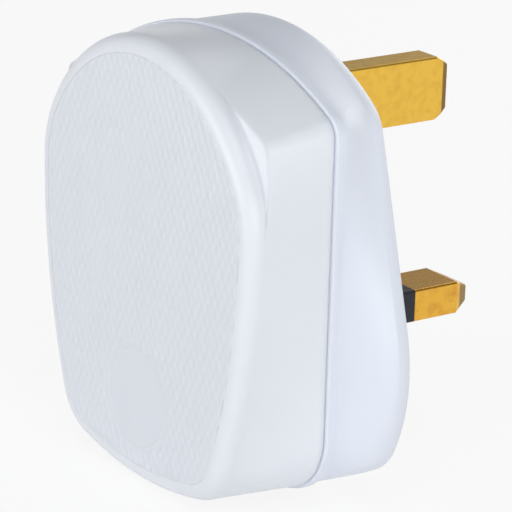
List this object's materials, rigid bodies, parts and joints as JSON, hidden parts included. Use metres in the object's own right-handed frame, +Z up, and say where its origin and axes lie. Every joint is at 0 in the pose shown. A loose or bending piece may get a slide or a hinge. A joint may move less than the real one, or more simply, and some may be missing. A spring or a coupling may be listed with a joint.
{
  "type": "uk three pin plug",
  "caption": "Rewireable fused mains plug with flat brass pins, sleeved line and neutral pins, a flared finger-grip base and a screwed-on cover with a flat egg-shaped rear face.",
  "frame": {"origin": "on the engagement face, midway between the axes of the line and neutral pins", "axes": "+Y out of the engagement face along the pins, +Z up towards the earth pin, +X to the line pin's side, which is on the right when the cover is seen from behind"},
  "size_m": [0.054, 0.0431, 0.0543],
  "materials": {
    "white_moulding": "satin white moulding with a knurled rear panel",
    "pin_brass": "bright drawn brass with fine handling marks",
    "sleeve_plastic": "black moulded insulation",
    "terminal_brass": "machined brass",
    "screw_steel": "zinc plated steel",
    "clip_bronze": "pressed phosphor bronze strip",
    "fuse_ceramic": "unglazed off-white ceramic tube",
    "cap_nickel": "nickel plated caps",
    "fuse_wire_metal": "tinned wire",
    "grip_plastic": "moulded cord clamp bar",
    "washer_fibre": "red vulcanised fibre"
  },
  "bodies": {
    "root": {"base": "white_moulding", "cover": "white_moulding", "earth_pin": "pin_brass", "neutral_pin": "pin_brass", "line_pin": "pin_brass", "neutral_sleeve": "sleeve_plastic", "line_sleeve": "sleeve_plastic", "line_terminal": "terminal_brass", "cover_insert": "terminal_brass", "earth_terminal_screw": "screw_steel", "neutral_terminal_screw": "screw_steel", "line_terminal_screw": "screw_steel", "cord_grip_screws": "screw_steel", "cover_screw": "screw_steel", "lower_fuse_clip": "clip_bronze", "upper_fuse_clip": "clip_bronze", "fuse_barrel": "fuse_ceramic", "lower_fuse_cap": "cap_nickel", "upper_fuse_cap": "cap_nickel", "fuse_wire": "fuse_wire_metal", "cord_grip_bar": "grip_plastic", "screw_keeper_washer": "washer_fibre"}
  },
  "joints": []
}
